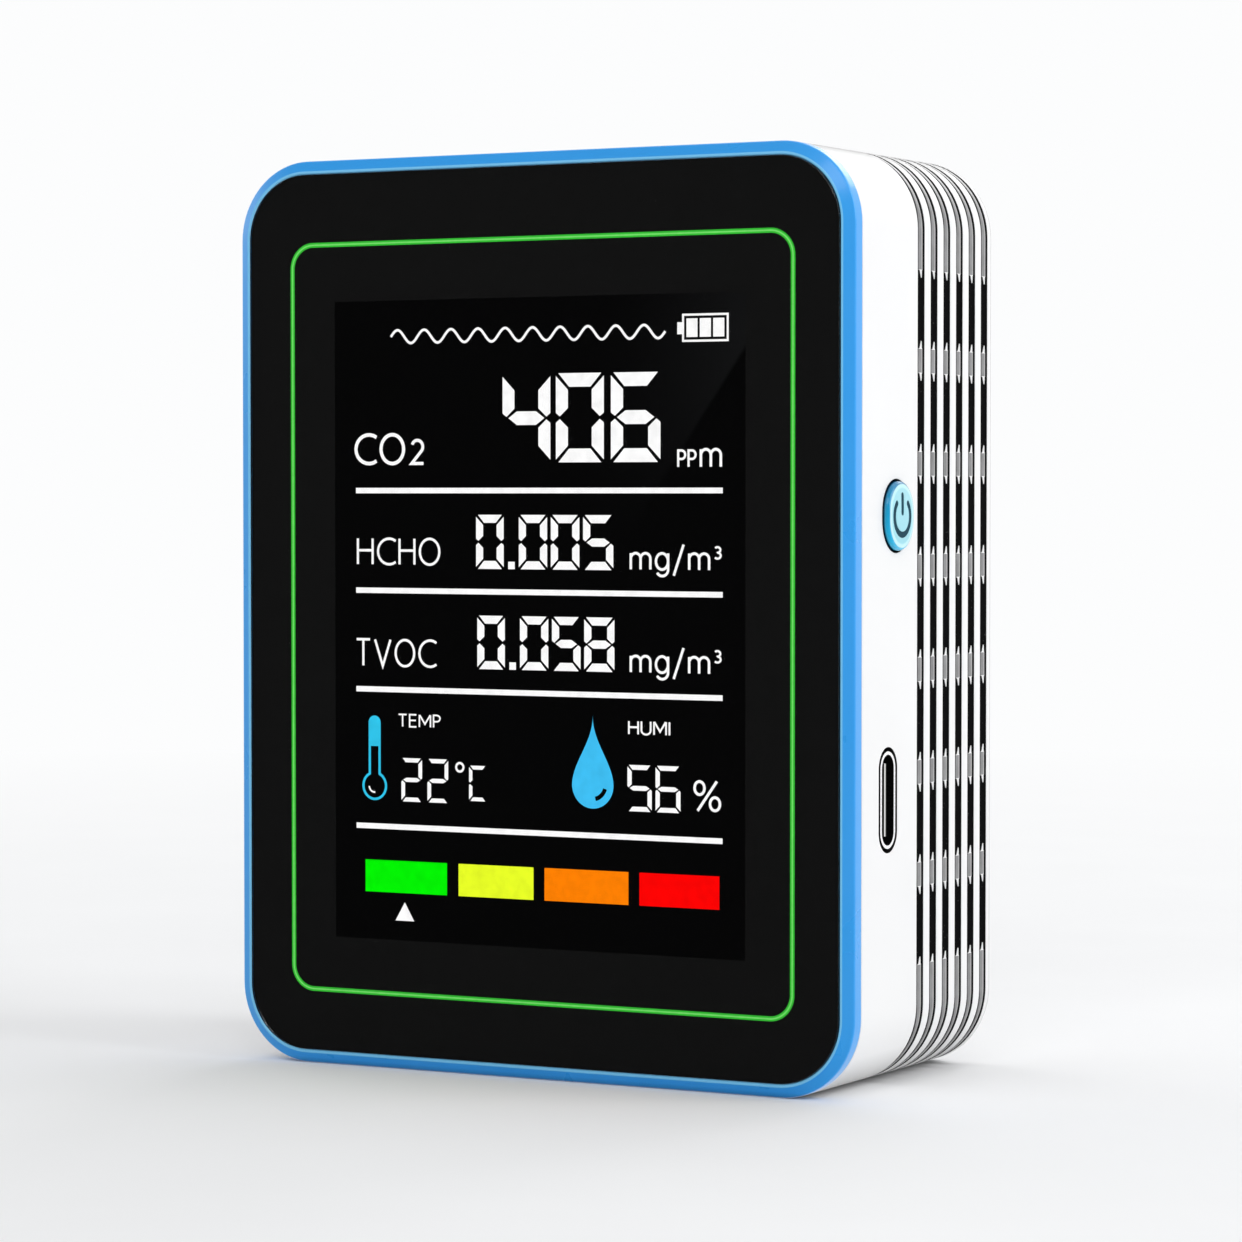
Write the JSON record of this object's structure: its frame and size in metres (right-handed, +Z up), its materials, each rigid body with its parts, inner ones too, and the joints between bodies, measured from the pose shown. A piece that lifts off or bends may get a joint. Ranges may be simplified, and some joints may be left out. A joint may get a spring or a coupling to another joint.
{
  "type": "carbon dioxide monitor",
  "caption": "Portable air monitor: white case with vent slots, blue front frame around a black lens and colour display, side power button and USB-C socket.",
  "frame": {"origin": "centre of the resting footprint, on the base face", "axes": "+Z up; the display faces -Y; +X is the side with the power button and the USB-C socket"},
  "size_m": [0.0666, 0.032, 0.087],
  "materials": {
    "black_lens": "gloss, printed black on the back with a clear window",
    "blue_plastic": "satin blue moulding",
    "white_plastic": "fine satin moulding",
    "black_screen": "fine black screen",
    "black_foam": "closed-cell foam and tape",
    "button_blue": "gloss light blue moulding",
    "black_plastic": "satin",
    "spring_steel": "bright",
    "plated_steel": "bright tin plate",
    "screw_steel": "nickel plate",
    "gold_plating": "gold plate",
    "display_glass": "dark polarised glass with lit figures",
    "clear_plastic": "clear light guide",
    "frame_plastic": "satin",
    "ribbon_film": "amber film",
    "cream_plastic": "satin",
    "board_green": "solder mask",
    "chip_black": "fine matte epoxy",
    "passive_ceramic": "matte",
    "battery_foil": "matte laminate foil",
    "white_tape": "foam tape",
    "red_wire": "smooth insulation",
    "black_wire": "smooth insulation",
    "white_membrane": "porous membrane",
    "sensor_can": "nickel plate"
  },
  "bodies": {
    "housing": {"front_lens": "black_lens", "lens_tape": "black_foam", "front_frame": "blue_plastic", "rear_case": "white_plastic", "dust_screen_right": "black_screen", "dust_screen_left": "black_screen", "case_screws": "screw_steel", "switch_dome": "spring_steel", "switch_body": "black_plastic", "switch_cover": "plated_steel", "switch_legs": "plated_steel", "usb_shell": "plated_steel", "usb_tongue": "black_plastic", "usb_contacts": "gold_plating", "lcd_glass": "display_glass", "lcd_light_guide": "clear_plastic", "lcd_frame": "frame_plastic", "display_foam": "black_foam", "lcd_ribbon": "ribbon_film", "ribbon_socket": "cream_plastic", "main_board": "board_green", "board_chips": "chip_black", "board_passives": "passive_ceramic", "board_screws": "screw_steel", "battery_cell": "battery_foil", "battery_tape": "white_tape", "battery_lead_red": "red_wire", "battery_lead_black": "black_wire", "battery_plug": "cream_plastic", "battery_socket": "cream_plastic", "co2_sensor_board": "board_green", "co2_sensor_chamber": "gold_plating", "co2_sensor_filter": "white_membrane", "co2_sensor_pins": "gold_plating", "hcho_sensor": "sensor_can", "voc_sensor": "sensor_can", "climate_sensor": "cream_plastic"},
    "button": {"power_button": "button_blue"},
    "plunger": {"switch_plunger": "black_plastic"}
  },
  "joints": [
    {"name": "button_press", "type": "slide", "parent": "housing", "child": "button", "axis": [-1, 0, 0], "range_m": [0, 0.00025], "deforming": ["switch_dome"]},
    {"name": "plunger_travel", "type": "slide", "parent": "housing", "child": "plunger", "axis": [-1, 0, 0], "range_m": [0, 0.00025], "deforming": ["switch_dome"]}
  ],
  "couplings": [
    {"joint": "plunger_travel", "follows": "button_press", "ratio": 1}
  ]
}
